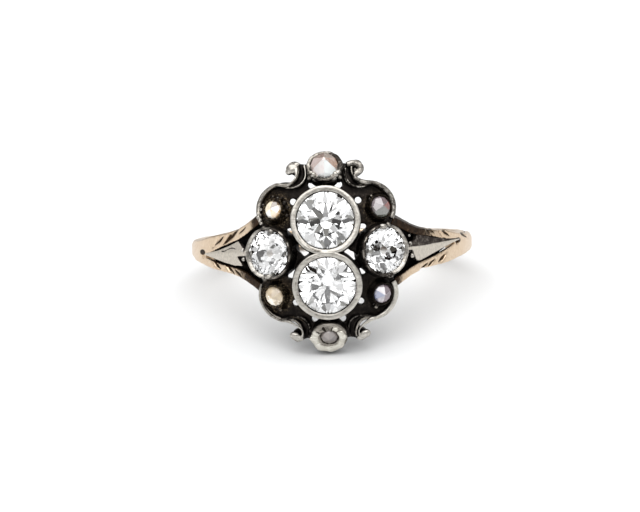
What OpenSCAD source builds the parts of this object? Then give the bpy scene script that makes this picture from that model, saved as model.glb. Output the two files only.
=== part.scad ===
/* [Finger hoop] */
// Radius of the finger hole
bore_r = 8.6; // [8.4:0.1:8.7]
// Radial thickness of the hoop at its sides
hoop_t = 1.05; // [0.95:0.05:1.15]
// Width of the hoop at its sides
hoop_w = 1.34; // [1.3:0.02:1.4]
// Width of the hoop at its back
back_w = 1.1; // [1:0.02:1.1]
// Depth of the cuts engraved across the shoulders
cut_depth = 0.14; // [0.08:0.01:0.2]

/* [Head] */
// Height of the domed plate's crest above the finger axis
plate_crest = 11.9; // [11.8:0.05:12]
// Radius of the dome from side to side
dome_across = 7.5; // [7.4:0.05:7.6]
// Radius of the dome from end to end
dome_along = 13; // [12.8:0.1:13.2]
// Thickness of the plate
plate_t = 0.95; // [0.8:0.05:1.05]
// Height of the scroll ribs above the plate
rib_h = 0.3; // [0.2:0.01:0.35]

/* [Stones] */
// Radius of the two middle brilliants
main_r = 2.05; // [2:0.01:2.08]
// Radius of the two side stones
side_r = 1.6; // [1.56:0.01:1.62]
// Radius of the rose at the top
top_rose_r = 0.94; // [0.88:0.01:0.95]
// Radius of the rose at the bottom
bottom_rose_r = 0.58; // [0.54:0.01:0.66]
// Radius of the upper left corner rose, the smallest of the four
corner_rose_r = 0.62; // [0.58:0.01:0.64]
// Clearance between a stone and its seat
seat_gap = 0.04; // [0.03:0.01:0.05]

/* [Fit] */
// Gap along the solder line between the gold and the silver
solder_gap = 0.03; // [0.02:0.01:0.06]

/* [Hidden] */

gold = "#d9b48f";
silver = "#8f8a84";
crystal = "#eef2f4";

// Hoop and shoulders. Angles are measured from the hoop's side towards the head.
hoop_r = bore_r + hoop_t;
hoop_end = 24;
bore_cut = 0.3;
hoop_end_w = 1.52;
taper_play = 0.01;
flank_share = 0.94;
edge_round = 0.22;
// Each row is a corner of half the hoop's section: depth under its outer face, counted in edge
// rounds, and share of its half width
HOOP_SECTION = [[2, 1], [0.6, 0.86], [0, 0.5]];
SECTION_DEPTH = 0;
SECTION_SHARE = 1;
hoop_facets = 180;
shoulder_start = 37;
shoulder_end = 68;
underside_start = 50;
branch_sink = 0.02;
BRANCH_ANGLE = 0;
BRANCH_INNER = 1;
BRANCH_OUTER = 2;
// Each row is a station of a branch: angle, height of its inner edge, height of its outer edge
BRANCH = [
    [14, -0.02, 0.64],
    [26, -0.02, 0.86],
    [28, 0.03, 0.94],
    [34, 0.3, 1.13],
    [40, 0.56, 1.28],
    [46, 0.78, 1.44],
    [52, 1, 1.68],
    [57, 1.32, 2.02],
    [61, 1.7, 2.38],
    [65, 2.1, 2.78],
    [68, 2.36, 3.02]
];
// Each row limits the branches' height near the hoop: distance in front of the finger axis, height
BRANCH_LIMIT = [[0, 0.56], [4.5, 1], [6.5, 1.6], [14, 8]];
BRANCH_DROP = 2;
FORK_DROP = 3;
// Each row is a shoulder branch: side and end of the ring, then how far its outer edge at the head
// and its inner edge at the fork are set towards the middle
BRANCHES = [[-1, 1, 0, 0.3], [-1, -1, 0.3, -0.3], [1, 1, 0.45, -0.2], [1, -1, 0.45, 0.2]];
fork_end = 28;
fork_fade_end = 56;
outer_fade = 1.6;
inner_fade = 4;
// Each row is a cut engraved across every branch: angle, height
CUTS = [[36.5, 0.8], [45, 1.12]];
cut_slope = 45;
cut_length = 1.4;
dot_r = 0.13;
dot_angle = 25.2;
dot_depth = 0.6;
dot_facets = 16;
// How far the hoop and its shoulders lie below the head's middle
shank_drop = 0.2;
// More than the spread and the length of the shank
shank_span = 9;
shank_length = 24;

// Head. Places are given across and along the head, seen from its front.
dome_axis = plate_crest - dome_across;
dome_reach = 7;
dome_step = 2;
dome_facets = 52;
head_back = 5;
head_front = 14;
main_v = 2.1;
side_u = 3.7;
end_v = 5.53;
end_lean = 12;
main_wall = 0.35;
main_girdle = 0.55;
main_light_r = 1.45;
main_facets = 36;
side_wall = 0.2;
side_girdle = 0.42;
side_light_r = 1.1;
side_facets = 32;
end_foot = 0.55;
end_foot_r = 1.2;
end_rim_r = 1.26;
end_floor = 0.36;
end_facets = 24;
// Each row is a corner stone: across, along, and how much larger it is than the smallest one
CORNERS = [[-3.4, 2.88, 0], [3.56, 2.86, 0.1], [-3.48, -2.86, 0.06], [3.52, -2.88, 0.03]];
corner_foot_r = 0.98;
corner_wall = 0.19;
corner_floor = 0.3;
corner_facets = 18;
lip = 0.17;
lip_reach = 0.15;
main_cover = 0.17;
side_cover = 0.06;
collet_foot = 0.9;
foot_taper = 0.12;
// Each row is a corner of an open collet's rim: share of its wall in from the outside, and height
// counted in lips
COLLET_RIM = [[0, 0], [0.12, 0.7], [0.4, 1.2], [0.7, 1.2]];
// Each row is a corner of a closed collet's rim: distance in from the outside, height over the floor
CUP_RIM = [[0, 0], [0.04, 0.16], [0.12, 0.22]];
RIM_IN = 0;
RIM_UP = 1;
cup_lip_in = 0.06;
cup_lip_up = 0.2;
cup_seat_up = 0.12;
light_depth = 2;
crown_slope = 0.92;
crown_space = 1;
lobe_u = 2.62;
lobe_v = 2.75;
lobe_r = 1.97;
lobe_facets = 48;
curl_u = 2.08;
curl_v = 5.66;
curl_r = 0.45;
curl_facets = 20;
curl_stem = 1.9;
neck_r = 0.25;
waist_u = 3.75;
waist_v = 2.6;
bar_u = 1.5;
bar_w = 0.24;
end_pad_v = 5.63;
end_pad_r = 1.1;
side_pad_r = 1.35;
pad_facets = 32;
rib_w = 0.15;
rib_start = -14;
rib_turn = 14;
rib_stop = 98;
rib_steps = 2;
inner_rib_w = 0.09;
inner_rib_share = 0.7;
half_girdle = 0.03;

// Rest. The ring lies on the lower end of the head's back edge and on the back of its hoop. Each
// place is given as distance from the finger axis and height along it. The shift sets the middle of
// the lying ring over the origin.
back_round = HOOP_SECTION[1][SECTION_DEPTH] * edge_round
    * (back_w / hoop_w - HOOP_SECTION[2][SECTION_SHARE])
    / (HOOP_SECTION[1][SECTION_SHARE] - HOOP_SECTION[2][SECTION_SHARE]);
rest_head = [-dome_axis - dome_r(end_pad_v + end_pad_r) + plate_t, -end_pad_v - end_pad_r];
rest_back = [hoop_r - back_round, -back_w / 2 - shank_drop];
rest_tilt = atan2(rest_back[1] - rest_head[1], rest_back[0] - rest_head[0]);
rest_shift = 1.986;

// Each row is a point of the scroll's outer rib beyond the lobe: across, along
OUTER_SCROLL = [
    [2.2, 4.62], [1.96, 4.86], [1.82, 5.18], [1.76, 5.53], [1.88, 5.86], [2.14, 5.96],
    [2.38, 5.79], [2.4, 5.53]
];
// Each row is a point of the scroll's inner rib: across, along
INNER_SCROLL = [
    [2.95, 4.42], [2.4, 4.36], [1.84, 4.4], [1.48, 4.64], [1.32, 5.02], [1.3, 5.42], [1.38, 5.77]
];
// Each row is a small hole pierced in every quarter of the plate: across, along, radius
HOLES = [[0.87, 4.54, 0.3], [2.2, 3.42, 0.24]];
// Each row is a slot pierced beside a bezel: side and end of the head, then the angles at which it
// starts and stops, seen from the bezel's centre
SLOTS = [
    [-1, 1, 10, 64], [-1, -1, 8, 27], [-1, -1, 50, 64], [1, 1, 6, 22], [1, 1, 52, 64], [1, -1, 12, 64]
];
slot_inner = 2.3;
slot_outer = 2.74;
slot_steps = 8;
slot_overlap = 0.02;
hole_facets = 14;

stone_sides = 16;
rose_sides = 12;
TIER_SLOPE = 0;
TIER_FACETS = 1;
TIER_TURN = 2;
TIER_DISTANCE = 3;
// Cuts of a stone of radius 1. Each row is a tier: slope, number of facets, turn, distance
BRILLIANT = [
    [0, 1, 0, 0.335],
    [21, 8, 22.5, 0.504],
    [34.5, 8, 0, 0.5905],
    [40, 16, 11.25, 0.6535],
    [139, 8, 0, 0.679],
    [137.6, 16, 11.25, 0.684]
];
OLD_CUT = [
    [0, 1, 0, 0.38],
    [24, 8, 22.5, 0.505],
    [37, 8, 0, 0.625],
    [42.5, 16, 11.25, 0.684],
    [136, 8, 0, 0.713],
    [134, 16, 11.25, 0.727],
    [180, 1, 0, 0.83]
];
ROSE = [
    [0, 1, 0, 0.62],
    [30, 6, 0, 0.583],
    [52, 12, 15, 0.778],
    [180, 1, 0, 0.06]
];
TALL_ROSE = [
    [0, 1, 0, 0.98],
    [42, 6, 0, 0.82],
    [66, 12, 15, 0.94],
    [180, 1, 0, 0.06]
];

// Each row is a side of the ring: direction, drop of its leaf's tip, drop of its leaf's foot
LEAVES = [[-1, 0.3, 0.1], [1, -0.2, 0]];
// Leaf between the branches. Each row is a section: angle, half width, lift
LEAF = [
    [29.3, 0.04, 0], [34, 0.2, 0], [42, 0.46, 0], [50, 0.76, 0], [51.6, 0.3, 0], [55, 0.17, 0.04],
    [58.5, 0.14, 0.16]
];
// Each row is a section of the leaf's forked foot: angle, distance from the middle, lift
FORK = [[56.5, 0.06, 0.08], [59.5, 0.2, 0.2], [62, 0.36, 0.3], [65, 0.56, 0.3]];
leaf_t = 0.55;
leaf_back_share = 0.8;
prong_t = 0.4;
leaf_foot = 50;
leaf_drop = 0.1;
leaf_ridge = 0.14;
prong_w = 0.09;

// Grains that hold the stones. Each row: across, along, radius
GRAINS = [
    [3.9, 1.66, 0.24], [3.95, -1.62, 0.26], [-3.95, 1.62, 0.22], [-3.95, -1.62, 0.28],
    [-2.5, 0.05, 0.2], [2.93, 3.56, 0.15], [-2.88, 3.5, 0.15], [-3.05, -3.68, 0.18],
    [3.02, -3.66, 0.18], [-0.95, 4.85, 0.2], [0.95, 4.85, 0.2], [-4.18, 2.48, 0.14]
];
grain_lift = 0.5;
grain_spread = 1.1;
grain_facets = 8;

function unit(v) = v / norm(v);
function polar(r, a) = r * [cos(a), sin(a)];
function dome_r(v) = dome_across - dome_along + sqrt(pow(dome_along, 2) - pow(v, 2));
function tip_along(v) = asin(v / dome_along);
function tip_across(u, v) = asin(u / dome_r(v));

// Outward direction of the dome at a place on the head
function dome_normal(u, v) = [
    cos(tip_along(v)) * sin(tip_across(u, v)),
    -cos(tip_along(v)) * cos(tip_across(u, v)),
    sin(tip_along(v))
];

// Point on the dome at a place on the head
function dome_point(u, v) = [u, -dome_axis - dome_r(v) * cos(tip_across(u, v)), v];

// Points of a smooth curve through the given points, with n steps between neighbours
function smooth_at(a, b, c, d, t) =
    (2 * b + t * (c - a) + t * t * (2 * a - 5 * b + 4 * c - d) + pow(t, 3) * (3 * b - a - 3 * c + d)) / 2;
function smooth(p, n) = [
    for (i = [0:len(p) - 2])
        for (k = [0:n - 1])
            smooth_at(p[max(i - 1, 0)], p[i], p[i + 1], p[min(i + 2, len(p) - 1)], k / n),
    p[len(p) - 1]
];

// Outer radius of a shoulder, which rises along a tangent of the hoop
function shoulder_r(a) = a < shoulder_start ? hoop_r : hoop_r / cos(a - shoulder_start);

// Point at a radius and an angle in front of the hoop's side
function at_angle(r, a) = [r * cos(a), -r * sin(a)];

// A section given as radius and height, set at an angle in front of the hoop's side
function turned(section, a) = [for (p = section) [p[0] * cos(a), -p[0] * sin(a), p[1]]];

// Lowering of the outer and the inner edge of a branch that meets the head nearer its middle
function outer_fall(a, drop) =
    drop * pow(max(a - hoop_end, 0) / (shoulder_end - hoop_end), outer_fade);
function inner_fall(a, drop) =
    drop * pow(max(a - hoop_end, 0) / (shoulder_end - hoop_end), inner_fade);

// Lowering of a branch's inner edge near the fork
function fork_fall(a, drop) =
    drop * min(max(fork_fade_end - a, 0) / (fork_fade_end - fork_end), 1);

// Height of a leaf's middle line, between the drop of its tip and that of its foot
function leaf_middle(a, leaf) =
    let (k = min(max(a - fork_end, 0) / (leaf_foot - fork_end), 1))
    -leaf[1] - k * (leaf[2] - leaf[1]);

// Sections of a leaf and of one prong of its forked foot, as radius and height
function leaf_section(row, leaf) =
    let (r = shoulder_r(row[0]) - leaf_drop + row[2], w = row[1], z = leaf_middle(row[0], leaf))
    [
        [r - leaf_t, z - leaf_back_share * w], [r - leaf_ridge, z - w], [r, z],
        [r - leaf_ridge, z + w], [r - leaf_t, z + leaf_back_share * w]
    ];
function prong_section(row, end, leaf) =
    let (
        r = shoulder_r(row[0]) - leaf_drop + row[2],
        z = end * row[1] + leaf_middle(row[0], leaf)
    )
    [[r - prong_t, z - prong_w], [r, z - prong_w], [r, z + prong_w], [r - prong_t, z + prong_w]];

// Ring of points round a rib that runs along the dome
function rib_ring(path, i, w, h) =
    let (
        a = path[max(i - 1, 0)],
        b = path[min(i + 1, len(path) - 1)],
        p = path[i],
        t = unit(dome_point(b[0], b[1]) - dome_point(a[0], a[1])),
        n = dome_normal(p[0], p[1]),
        s = cross(n, t)
    )
    [for (k = [0:5]) dome_point(p[0], p[1]) + w * cos(60 * k) * s + h * sin(60 * k) * n];

// Lathe profile of an open collet without its bore: outer radius, stone radius, girdle height
function collet_profile(r_out, r, girdle) =
    let (top = girdle + half_girdle * r, wall = r_out - r)
    [
        [0, -collet_foot], [r_out - foot_taper, -collet_foot], [r_out, 0],
        for (row = COLLET_RIM) [r_out - row[RIM_IN] * wall, top + row[RIM_UP] * lip],
        [r - lip_reach, top + lip], [0, top + lip]
    ];

// Lathe profile of the space that a stone and the light behind it take in an open collet, whose lip
// covers the given width of the stone's edge
function cavity_profile(r, girdle, r_hole, cover) =
    let (
        wide = r + seat_gap,
        top = girdle + half_girdle * r,
        low = girdle - half_girdle * r - seat_gap
    )
    [
        [0, -light_depth], [r_hole, -light_depth], [r_hole, low - wide + r_hole], [wide, low], [wide, top],
        [wide - cover, top + crown_slope * cover], [wide - cover, top + crown_space],
        [0, top + crown_space]
    ];

// Lathe profile of a closed collet: depth of its foot, outer radius at its foot and rim, stone
// radius, floor height
function cup_profile(foot, r_foot, r_rim, r, floor) = [
    [0, -foot], [r_foot - foot_taper, -foot], [r_foot, 0],
    for (row = CUP_RIM) [r_rim - row[RIM_IN], floor + row[RIM_UP]],
    [r + cup_lip_in, floor + cup_lip_up], [r + seat_gap, floor + cup_seat_up], [r + seat_gap, floor],
    [0, floor]
];

// A solid through a row of rings with the same number of points
module sweep(rings) {
    n = len(rings[0]);
    last = (len(rings) - 1) * n;
    polyhedron(
        points = [for (ring = rings) each ring],
        faces = [
            [for (k = [0:n - 1]) k],
            [for (k = [n - 1:-1:0]) last + k],
            for (i = [0:len(rings) - 2])
                for (k = [0:n - 1])
                    [i * n + k, (i + 1) * n + k, (i + 1) * n + (k + 1) % n, i * n + (k + 1) % n]
        ]
    );
}

// Stands a child on the dome, its z along the dome's outward direction or leaning up from it
module on_dome(u, v, lift = 0, lean = 0) {
    translate(dome_point(u, v))
        rotate([90 - tip_along(v) - lean, 0, tip_across(u, v)])
            translate([0, 0, lift])
                children();
}

// One child in each quarter of the head
module quarters() {
    for (side = [0, 1])
        for (end = [0, 1])
            mirror([side, 0, 0])
                mirror([0, 0, end])
                    children();
}

// The same for a flat outline
module flat_quarters() {
    for (side = [0, 1])
        for (end = [0, 1])
            mirror([side, 0])
                mirror([0, end])
                    children();
}

// The plate's outline, seen from the front
module head_outline() {
    offset(r = -neck_r)
        offset(r = neck_r)
            flat_quarters() {
                translate([lobe_u, lobe_v])
                    circle(lobe_r, $fn = lobe_facets);
                square([waist_u, waist_v]);
                square([curl_stem, curl_v]);
                translate([0, curl_v])
                    square([bar_u, bar_w]);
                translate([0, end_pad_v])
                    circle(end_pad_r, $fn = pad_facets);
                translate([side_u, 0])
                    circle(side_pad_r, $fn = pad_facets);
                translate([curl_u, curl_v])
                    circle(curl_r, $fn = curl_facets);
            }
}

// Flat sector of a ring round the upper bezel, as far as the middle of the head
module slot_outline(from, to) {
    intersection() {
        translate([0, main_v])
            polygon([
                for (i = [0:slot_steps]) polar(slot_inner, -from - i * (to - from) / slot_steps),
                for (i = [slot_steps:-1:0]) polar(slot_outer, -from - i * (to - from) / slot_steps)
            ]);
        translate([0, -slot_overlap])
            square(lobe_u + lobe_r);
    }
}

module windows() {
    flat_quarters()
        for (hole = HOLES)
            translate([hole[0], hole[1]])
                circle(hole[2], $fn = hole_facets);
    for (slot = SLOTS)
        scale([slot[0], slot[1]])
            slot_outline(slot[2], slot[3]);
}

// Extrudes an outline seen from the front through the whole head
module from_front(from, to) {
    rotate([90, 0, 0])
        translate([0, 0, from])
            linear_extrude(to - from)
                children();
}

module dome_shell() {
    translate([0, -dome_axis, 0])
        rotate_extrude($fn = dome_facets)
            polygon([
                for (v = [-dome_reach:dome_step:dome_reach]) [dome_r(v), v],
                for (v = [dome_reach:-dome_step:-dome_reach]) [dome_r(v) - plate_t, v]
            ]);
}

// Turns a profile round the dome's outward direction, or a leaning one, at a place on the head
module turned_at(u, v, sides, lean = 0) {
    on_dome(u, v, 0, lean)
        rotate_extrude($fn = sides)
            children();
}

module grain(row) {
    u = row[0];
    v = row[1];
    hull() {
        on_dome(u, v, grain_lift)
            sphere(row[2], $fn = grain_facets);
        on_dome(u, v, 0)
            sphere(grain_spread * row[2], $fn = grain_facets);
    }
}

module ribs() {
    outer = concat(
        [for (a = [rib_start:rib_turn:rib_stop]) [lobe_u, lobe_v] + polar(lobe_r - rib_w, a)],
        smooth(OUTER_SCROLL, rib_steps)
    );
    inner = smooth(INNER_SCROLL, rib_steps);
    quarters() {
        sweep([for (i = [0:len(outer) - 1]) rib_ring(outer, i, rib_w, rib_h)]);
        sweep([for (i = [0:len(inner) - 1]) rib_ring(inner, i, inner_rib_w, inner_rib_share * rib_h)]);
    }
}

module leaf(leaf) {
    sweep([for (row = LEAF) turned(leaf_section(row, leaf), row[0])]);
    for (end = [-1, 1])
        sweep([for (row = FORK) turned(prong_section(row, end, leaf), row[0])]);
}

// Places the upright ring as it lies: head tipped up, resting on the head's lower end and its back
module at_rest() {
    translate([0, rest_shift, rest_back[0] * sin(rest_tilt) - rest_back[1] * cos(rest_tilt)])
        rotate([-rest_tilt, 0, 0])
            children();
}

// V-shaped groove across a branch, slanting outwards as it nears the head
module engraved_cut(a, height) {
    rotate([0, 0, -a])
        translate([shoulder_r(a), 0, height])
            rotate([cut_slope, 0, 0])
                rotate([0, 0, 45])
                    cube([cut_depth * sqrt(2), cut_depth * sqrt(2), cut_length], center = true);
}

// The shoulders' outline seen along the finger
module shoulder_plan() {
    inner_end = at_angle(bore_r / cos(shoulder_end - underside_start), shoulder_end);
    inner_start = at_angle(bore_r, underside_start);
    r = hoop_r - branch_sink;
    difference() {
        union() {
            circle(r, $fn = hoop_facets);
            for (side = [0, 1])
                mirror([side, 0])
                    polygon([
                        at_angle(r, shoulder_start), at_angle(shoulder_r(shoulder_end), shoulder_end),
                        inner_end, inner_start
                    ]);
        }
        polygon([
            inner_start, inner_end, [inner_end[0], -2 * bore_r], [-inner_end[0], -2 * bore_r],
            [-inner_end[0], inner_end[1]], [-inner_start[0], inner_start[1]], [0, 0]
        ]);
    }
}

// A branch seen from the front
module branch_front(drop, fork_drop) {
    function across(row) = at_angle(shoulder_r(row[BRANCH_ANGLE]), row[BRANCH_ANGLE])[0];
    polygon([
        for (row = BRANCH)
            let (fall = inner_fall(row[BRANCH_ANGLE], drop) + fork_fall(row[BRANCH_ANGLE], fork_drop))
            [across(row), row[BRANCH_INNER] - fall],
        for (i = [len(BRANCH) - 1:-1:0])
            [across(BRANCH[i]), BRANCH[i][BRANCH_OUTER] - outer_fall(BRANCH[i][BRANCH_ANGLE], drop)]
    ]);
}

// The space that a branch may fill, seen from the ring's side
module branch_space() {
    rotate([90, 0, 90])
        linear_extrude(shank_length, center = true)
            polygon([
                for (row = BRANCH_LIMIT) [-row[0], -row[1]],
                for (i = [len(BRANCH_LIMIT) - 1:-1:0]) [-BRANCH_LIMIT[i][0], BRANCH_LIMIT[i][1]]
            ]);
}

// The round part of the hoop, narrower at its back and where the shoulders begin
module hoop() {
    half = hoop_w / 2;
    back = back_w / 2;
    front = -hoop_r * sin(hoop_end) - bore_cut;
    flank = bore_r / 2;
    edge = [for (row = HOOP_SECTION) [hoop_r - row[SECTION_DEPTH] * edge_round, row[SECTION_SHARE] * half]];
    intersection() {
        rotate([0, 0, -hoop_end])
            rotate_extrude(angle = 180 + 2 * hoop_end, $fn = hoop_facets)
                polygon([
                    [bore_r - bore_cut, -half],
                    for (p = edge) [p[0], -p[1]],
                    for (i = [len(edge) - 1:-1:0]) edge[i],
                    [bore_r - bore_cut, half]
                ]);
        rotate([90, 0, 90])
            linear_extrude(4 * bore_r, center = true)
                polygon([
                    [front, -hoop_end_w / 2], [0, -half - taper_play], [flank, -flank_share * half],
                    [hoop_r + bore_cut, -back], [hoop_r + bore_cut, back], [flank, flank_share * half],
                    [0, half + taper_play], [front, hoop_end_w / 2]
                ]);
    }
}

module shank_upright() {
    difference() {
        translate([0, 0, -shank_drop]) {
            hoop();
            for (branch = BRANCHES)
                intersection() {
                    linear_extrude(shank_span, center = true)
                        shoulder_plan();
                    branch_space();
                    mirror([0, 0, branch[1] < 0 ? 1 : 0])
                        mirror([branch[0] < 0 ? 1 : 0, 0, 0])
                            from_front(0, head_front)
                                branch_front(branch[BRANCH_DROP], branch[FORK_DROP]);
                }
        }
        cylinder(h = shank_span, r = bore_r, center = true, $fn = hoop_facets);
        from_front(head_back, head_front)
            offset(delta = solder_gap)
                head_outline();
        translate([0, 0, -shank_drop]) {
            quarters()
                for (row = CUTS)
                    engraved_cut(row[0], row[1]);
            for (leaf = LEAVES)
                mirror([leaf[0] < 0 ? 1 : 0, 0, 0])
                    rotate([0, 0, -dot_angle])
                        translate([hoop_r - dot_depth, 0, -leaf[1]])
                            rotate([0, 90, 0])
                                cylinder(h = 2 * dot_depth, r = dot_r, $fn = dot_facets);
        }
    }
}

module setting_upright() {
    difference() {
        union() {
            intersection() {
                dome_shell();
                from_front(head_back, head_front)
                    difference() {
                        head_outline();
                        windows();
                    }
            }
            ribs();
            for (end = [-1, 1]) {
                turned_at(0, end * main_v, main_facets)
                    polygon(collet_profile(main_r + main_wall, main_r, main_girdle));
                turned_at(end * side_u, 0, side_facets)
                    polygon(collet_profile(side_r + side_wall, side_r, side_girdle));
            }
            turned_at(0, end_v, end_facets, end_lean)
                polygon(cup_profile(end_foot, end_foot_r, end_rim_r, top_rose_r, end_floor));
            turned_at(0, -end_v, end_facets, -end_lean)
                polygon(cup_profile(end_foot, end_foot_r, end_rim_r, bottom_rose_r, end_floor));
            for (row = CORNERS)
                let (r = corner_rose_r + row[2])
                    turned_at(row[0], row[1], corner_facets)
                        polygon(
                            cup_profile(collet_foot, corner_foot_r, r + corner_wall, r, corner_floor)
                        );
            for (row = LEAVES)
                translate([0, 0, -shank_drop])
                    mirror([row[0] < 0 ? 1 : 0, 0, 0])
                        leaf(row);
            for (row = GRAINS)
                grain(row);
        }
        for (end = [-1, 1]) {
            turned_at(0, end * main_v, main_facets)
                polygon(cavity_profile(main_r, main_girdle, main_light_r, main_cover));
            turned_at(end * side_u, 0, side_facets)
                polygon(cavity_profile(side_r, side_girdle, side_light_r, side_cover));
        }
    }
}

// A stone of radius r: a many-sided rod with each tier of facets cut from it. The result is convex,
// so its hull is the same shape.
module cut_stone(r, cuts, sides) {
    hull()
        intersection() {
            linear_extrude(2 * r, center = true)
                polygon([for (i = [0:sides - 1]) polar(r, i * 360 / sides)]);
            intersection_for (row = cuts)
                intersection_for (i = [0:row[TIER_FACETS] - 1])
                    rotate([0, row[TIER_SLOPE], row[TIER_TURN] + i * 360 / row[TIER_FACETS]])
                        translate([-2 * r, -2 * r, (row[TIER_DISTANCE] - 4) * r])
                            cube(4 * r);
        }
}

module shank() {
    color(gold)
        at_rest()
            shank_upright();
}

module setting() {
    color(silver)
        at_rest()
            setting_upright();
}

// A stone of the given cut, its girdle lifted off the dome at a place on the head
module stone(u, v, lift, r, cuts, sides, lean = 0) {
    color(crystal)
        at_rest()
            on_dome(u, v, lift, lean)
                cut_stone(r, cuts, sides);
}

// A rose-cut stone, its flat back just above the floor of its closed collet
module rose(u, v, floor, r, cuts, lean = 0) {
    back = cuts[len(cuts) - 1][TIER_DISTANCE] * r;
    stone(u, v, floor + seat_gap + back, r, cuts, rose_sides, lean);
}

module upper_diamond() {
    stone(0, main_v, main_girdle, main_r, BRILLIANT, stone_sides);
}

module lower_diamond() {
    stone(0, -main_v, main_girdle, main_r, BRILLIANT, stone_sides);
}

module left_diamond() {
    stone(-side_u, 0, side_girdle, side_r, OLD_CUT, stone_sides);
}

module right_diamond() {
    stone(side_u, 0, side_girdle, side_r, OLD_CUT, stone_sides);
}

module top_rose() {
    rose(0, end_v, end_floor, top_rose_r, TALL_ROSE, end_lean);
}

module bottom_rose() {
    rose(0, -end_v, end_floor, bottom_rose_r, ROSE, -end_lean);
}

module corner_rose(row) {
    rose(row[0], row[1], corner_floor, corner_rose_r + row[2], ROSE);
}

module upper_left_rose() {
    corner_rose(CORNERS[0]);
}

module upper_right_rose() {
    corner_rose(CORNERS[1]);
}

module lower_left_rose() {
    corner_rose(CORNERS[2]);
}

module lower_right_rose() {
    corner_rose(CORNERS[3]);
}

shank();
setting();
upper_diamond();
lower_diamond();
left_diamond();
right_diamond();
top_rose();
bottom_rose();
upper_left_rose();
upper_right_rose();
lower_left_rose();
lower_right_rose();
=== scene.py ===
"""The looks of an antique cluster ring: worn rose gold, blackened silver and old diamonds.

Shapes are drawn in millimetres on the upright ring, whose finger axis is Z and whose head faces -Y,
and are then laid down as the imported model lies.
"""
import math

import bmesh
import bpy
import numpy as np
from mathutils import Matrix, Vector, noise


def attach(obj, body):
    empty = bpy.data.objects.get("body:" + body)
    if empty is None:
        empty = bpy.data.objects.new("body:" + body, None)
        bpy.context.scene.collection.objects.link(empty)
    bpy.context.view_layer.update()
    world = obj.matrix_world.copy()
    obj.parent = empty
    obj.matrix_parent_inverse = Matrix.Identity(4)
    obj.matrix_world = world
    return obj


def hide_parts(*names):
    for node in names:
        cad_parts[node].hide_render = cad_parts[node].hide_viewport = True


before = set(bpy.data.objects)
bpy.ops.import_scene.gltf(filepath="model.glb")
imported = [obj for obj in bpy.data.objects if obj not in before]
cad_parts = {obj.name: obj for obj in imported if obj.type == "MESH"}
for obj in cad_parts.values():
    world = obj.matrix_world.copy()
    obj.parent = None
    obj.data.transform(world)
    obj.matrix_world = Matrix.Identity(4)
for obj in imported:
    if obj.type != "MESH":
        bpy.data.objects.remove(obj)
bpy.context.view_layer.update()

# The solids' own sizes and places, in millimetres
PLATE_CREST = 11.9
DOME_ACROSS = 7.5
DOME_ALONG = 13.0
DOME_AXIS = PLATE_CREST - DOME_ACROSS
HOOP_R = 9.65
SHANK_DROP = 0.2
MAIN_R = 2.05
MAIN_V = 2.1
SIDE_R = 1.6
SIDE_U = 3.7
END_V = 5.53
END_LEAN = math.radians(12)
# Each row is a corner stone: across, along, radius
CORNERS = [(-3.4, 2.88, 0.62), (3.56, 2.86, 0.72), (-3.48, -2.86, 0.68), (3.52, -2.88, 0.65)]
LOBE_U = 2.62
LOBE_V = 2.75
LOBE_R = 1.97
# Angle, in degrees from the hoop's side, where a shoulder leaves the circle
SHOULDER_START = 37
# The two spots that the ring rests on, the back of its hoop and the lower end of its head. Each:
# depth behind the finger axis, height along it
REST_BACK = (9.5323, -0.75)
REST_HEAD = (-9.0724, -6.73)
REST_TILT = math.atan2(REST_BACK[1] - REST_HEAD[1], REST_BACK[0] - REST_HEAD[0])
REST_LIFT = REST_BACK[0] * math.sin(REST_TILT) - REST_BACK[1] * math.cos(REST_TILT)
REST_SHIFT = 1.986

MM = 0.001
UPRIGHT_TO_WORLD = (
    Matrix.Scale(MM, 4)
    @ Matrix.Translation((0, REST_SHIFT, REST_LIFT))
    @ Matrix.Rotation(-REST_TILT, 4, "X")
)
WORLD_TO_UPRIGHT = UPRIGHT_TO_WORLD.inverted()


# Places on the head

def dome_r(v):
    """Radius of the dome, from side to side, at a height along the head."""
    return DOME_ACROSS - DOME_ALONG + math.sqrt(DOME_ALONG ** 2 - v * v)


def on_dome(u, v, lift=0.0, lean=0.0):
    """The turn and place that stands a shape on the dome, its Z outwards and its Y up the head.

    lean tips it further up the head, in radians.
    """
    tip_v = math.asin(v / DOME_ALONG) + lean
    tip_u = math.asin(u / dome_r(v))
    turn = Matrix.Rotation(tip_u, 4, "Z") @ Matrix.Rotation(math.pi / 2 - tip_v, 4, "X")
    point = Vector((u, -DOME_AXIS - dome_r(v) * math.cos(tip_u), v))
    return Matrix.Translation(point + turn.to_3x3() @ Vector((0, 0, lift))) @ turn


def smooth_line(points, steps):
    """A Catmull-Rom curve through the points."""
    line = []
    for i in range(len(points) - 1):
        a, b = Vector(points[max(i - 1, 0)]), Vector(points[i])
        c, d = Vector(points[i + 1]), Vector(points[min(i + 2, len(points) - 1)])
        for k in range(steps):
            t = k / steps
            line.append(0.5 * (2 * b + t * (c - a) + t * t * (2 * a - 5 * b + 4 * c - d)
                               + t ** 3 * (3 * b - a - 3 * c + d)))
    line.append(Vector(points[-1]))
    return line


def shoulder_place(x):
    """Depth of the shoulder's outer face at a distance from the middle, and where it faces."""
    start = math.radians(SHOULDER_START)
    far = abs(x) / HOOP_R
    side = 1 if x > 0 else -1
    if far > math.cos(start):
        angle = math.acos(min(far, 1.0))
        return -HOOP_R * math.sin(angle), Vector((side * math.cos(angle), -math.sin(angle), 0))
    slope = (math.cos(start) - far) / math.sin(start)
    depth = -HOOP_R * (math.sin(start) + slope * math.cos(start))
    return depth, Vector((side * math.cos(start), -math.sin(start), 0))


# Materials

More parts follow.
